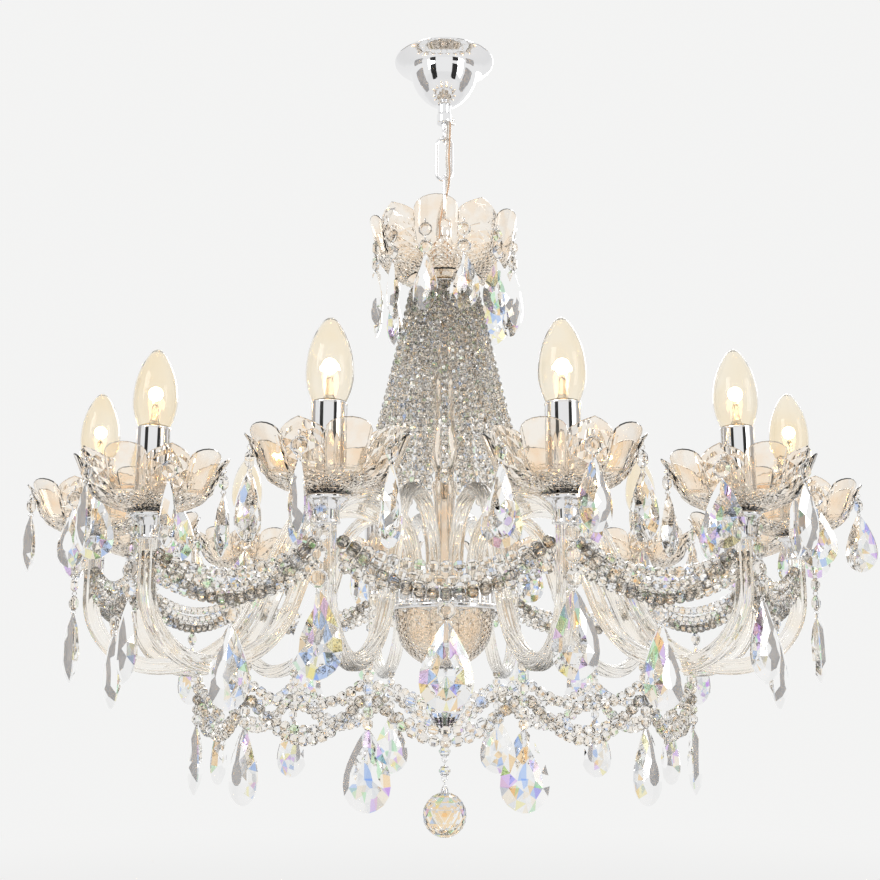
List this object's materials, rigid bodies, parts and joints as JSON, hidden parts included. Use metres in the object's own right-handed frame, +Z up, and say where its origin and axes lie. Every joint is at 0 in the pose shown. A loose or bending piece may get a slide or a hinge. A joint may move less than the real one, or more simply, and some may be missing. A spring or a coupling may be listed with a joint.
{
  "type": "crystal chandelier",
  "caption": "Round chandelier with curved glass arms, petalled glass bowls under candle lamps, bead strands and crystal pendants, hung from a ceiling cup by a chain.",
  "frame": {"origin": "centre of the ceiling strap's upper face, on the ceiling, between its two screw holes", "axes": "+Z up, into the ceiling; -Y is the front, towards the camera of the picture; +X is the picture's right"},
  "size_m": [0.7436, 0.7436, 0.7778],
  "materials": {
    "zinc_steel": "zinc plated",
    "chrome": "polished",
    "insulator": "moulded",
    "clear_flex": "clear sheath over two cores",
    "arm_glass": "clear ribbed glass",
    "cut_glass": "clear cut glass",
    "crystal": "clear cut crystal",
    "bulb_glass": "clear candle bulb, lit",
    "lamp_cap": "plain"
  },
  "bodies": {
    "ceiling": {"ceiling_strap": "zinc_steel", "bolt_nuts": "zinc_steel", "terminal_block": "insulator", "eye_bolt": "chrome", "supply_flex": "clear_flex"},
    "ceiling_cup": {"canopy": "chrome", "canopy_collar": "chrome", "collar_screws": "chrome"},
    "upper_link": {"chain_link_upper": "chrome"},
    "lower_link": {"chain_link_lower": "chrome"},
    "gap_pear_01": {"gap_pear_01": "crystal"},
    "gap_pear_02": {"gap_pear_02": "crystal"},
    "gap_pear_03": {"gap_pear_03": "crystal"},
    "gap_pear_04": {"gap_pear_04": "crystal"},
    "gap_pear_05": {"gap_pear_05": "crystal"},
    "gap_pear_06": {"gap_pear_06": "crystal"},
    "gap_pear_07": {"gap_pear_07": "crystal"},
    "gap_pear_08": {"gap_pear_08": "crystal"},
    "gap_pear_09": {"gap_pear_09": "crystal"},
    "gap_pear_10": {"gap_pear_10": "crystal"},
    "gap_pear_11": {"gap_pear_11": "crystal"},
    "gap_pear_12": {"gap_pear_12": "crystal"},
    "drop_bead_upper": {"drop_bead_upper": "crystal"},
    "drop_bead_lower": {"drop_bead_lower": "crystal"},
    "crystal_ball": {"crystal_ball": "crystal"},
    "chandelier": {"arm_drop_beads": "crystal", "arm_end_cups": "chrome", "arm_ferrules": "chrome", "arm_pears": "crystal", "bottom_cup": "chrome", "bowl_octagons": "crystal", "bowl_pears": "crystal", "bulb_caps": "lamp_cap", "bulbs": "bulb_glass", "candle_sleeves": "chrome", "dish_octagons": "crystal", "dish_pears": "crystal", "gap_octagons": "crystal", "glass_arms": "arm_glass", "glass_spike": "cut_glass", "hub_dish": "cut_glass", "hub_plate": "chrome", "inner_strands": "crystal", "lamp_bowls": "cut_glass", "lamp_holders": "insulator", "lamp_nipples": "chrome", "low_pears": "crystal", "lower_cup": "chrome", "lower_garlands": "crystal", "lower_glass": "cut_glass", "middle_glass": "cut_glass", "neck_glass": "cut_glass", "outer_strands": "crystal", "stem_eye": "chrome", "stem_tube": "chrome", "strand_crown": "chrome", "tie_rod": "chrome", "top_dish": "cut_glass", "upper_cup": "chrome", "upper_garlands": "crystal"}
  },
  "joints": [
    {"name": "cup_slide", "type": "slide", "parent": "ceiling", "child": "ceiling_cup", "axis": [0, 0, -1], "range_m": [0, 0.005], "deforming": ["supply_flex"]},
    {"name": "upper_link_swing", "type": "hinge", "parent": "ceiling", "child": "upper_link", "pos_m": [0, 0, -0.0898], "axis": [0, 1, 0], "range_deg": [-25, 25], "deforming": ["supply_flex"]},
    {"name": "lower_link_swing", "type": "hinge", "parent": "upper_link", "child": "lower_link", "pos_m": [0, 0, -0.1325], "axis": [1, 0, 0], "range_deg": [-25, 25], "deforming": ["supply_flex"]},
    {"name": "chandelier_swing", "type": "hinge", "parent": "lower_link", "child": "chandelier", "pos_m": [0, 0, -0.1754], "axis": [0, 1, 0], "range_deg": [-20, 20], "deforming": ["supply_flex"]},
    {"name": "gap_pear_01_swing", "type": "hinge", "parent": "chandelier", "child": "gap_pear_01", "pos_m": [0, -0.31296, -0.59985], "axis": [1, 0, 0], "range_deg": [-25, 25]},
    {"name": "gap_pear_02_swing", "type": "hinge", "parent": "chandelier", "child": "gap_pear_02", "pos_m": [0.15648, -0.27103, -0.59985], "axis": [0.866, 0.5, 0], "range_deg": [-25, 25]},
    {"name": "gap_pear_03_swing", "type": "hinge", "parent": "chandelier", "child": "gap_pear_03", "pos_m": [0.27103, -0.15648, -0.59985], "axis": [0.5, 0.866, 0], "range_deg": [-25, 25]},
    {"name": "gap_pear_04_swing", "type": "hinge", "parent": "chandelier", "child": "gap_pear_04", "pos_m": [0.31296, 0, -0.59985], "axis": [0, 1, 0], "range_deg": [-25, 25]},
    {"name": "gap_pear_05_swing", "type": "hinge", "parent": "chandelier", "child": "gap_pear_05", "pos_m": [0.27103, 0.15648, -0.59985], "axis": [-0.5, 0.866, 0], "range_deg": [-25, 25]},
    {"name": "gap_pear_06_swing", "type": "hinge", "parent": "chandelier", "child": "gap_pear_06", "pos_m": [0.15648, 0.27103, -0.59985], "axis": [-0.866, 0.5, 0], "range_deg": [-25, 25]},
    {"name": "gap_pear_07_swing", "type": "hinge", "parent": "chandelier", "child": "gap_pear_07", "pos_m": [0, 0.31296, -0.59985], "axis": [-1, 0, 0], "range_deg": [-25, 25]},
    {"name": "gap_pear_08_swing", "type": "hinge", "parent": "chandelier", "child": "gap_pear_08", "pos_m": [-0.15648, 0.27103, -0.59985], "axis": [-0.866, -0.5, 0], "range_deg": [-25, 25]},
    {"name": "gap_pear_09_swing", "type": "hinge", "parent": "chandelier", "child": "gap_pear_09", "pos_m": [-0.27103, 0.15648, -0.59985], "axis": [-0.5, -0.866, 0], "range_deg": [-25, 25]},
    {"name": "gap_pear_10_swing", "type": "hinge", "parent": "chandelier", "child": "gap_pear_10", "pos_m": [-0.31296, 0, -0.59985], "axis": [0, -1, 0], "range_deg": [-25, 25]},
    {"name": "gap_pear_11_swing", "type": "hinge", "parent": "chandelier", "child": "gap_pear_11", "pos_m": [-0.27103, -0.15648, -0.59985], "axis": [0.5, -0.866, 0], "range_deg": [-25, 25]},
    {"name": "gap_pear_12_swing", "type": "hinge", "parent": "chandelier", "child": "gap_pear_12", "pos_m": [-0.15648, -0.27103, -0.59985], "axis": [0.866, -0.5, 0], "range_deg": [-25, 25]},
    {"name": "drop_bead_upper_swing", "type": "hinge", "parent": "chandelier", "child": "drop_bead_upper", "pos_m": [0, 0, -0.6929], "axis": [1, 0, 0], "range_deg": [-30, 30]},
    {"name": "drop_bead_lower_swing", "type": "hinge", "parent": "drop_bead_upper", "child": "drop_bead_lower", "pos_m": [0, 0, -0.7104], "axis": [1, 0, 0], "range_deg": [-30, 30]},
    {"name": "crystal_ball_swing", "type": "hinge", "parent": "drop_bead_lower", "child": "crystal_ball", "pos_m": [0, 0, -0.7279], "axis": [1, 0, 0], "range_deg": [-30, 30]}
  ]
}
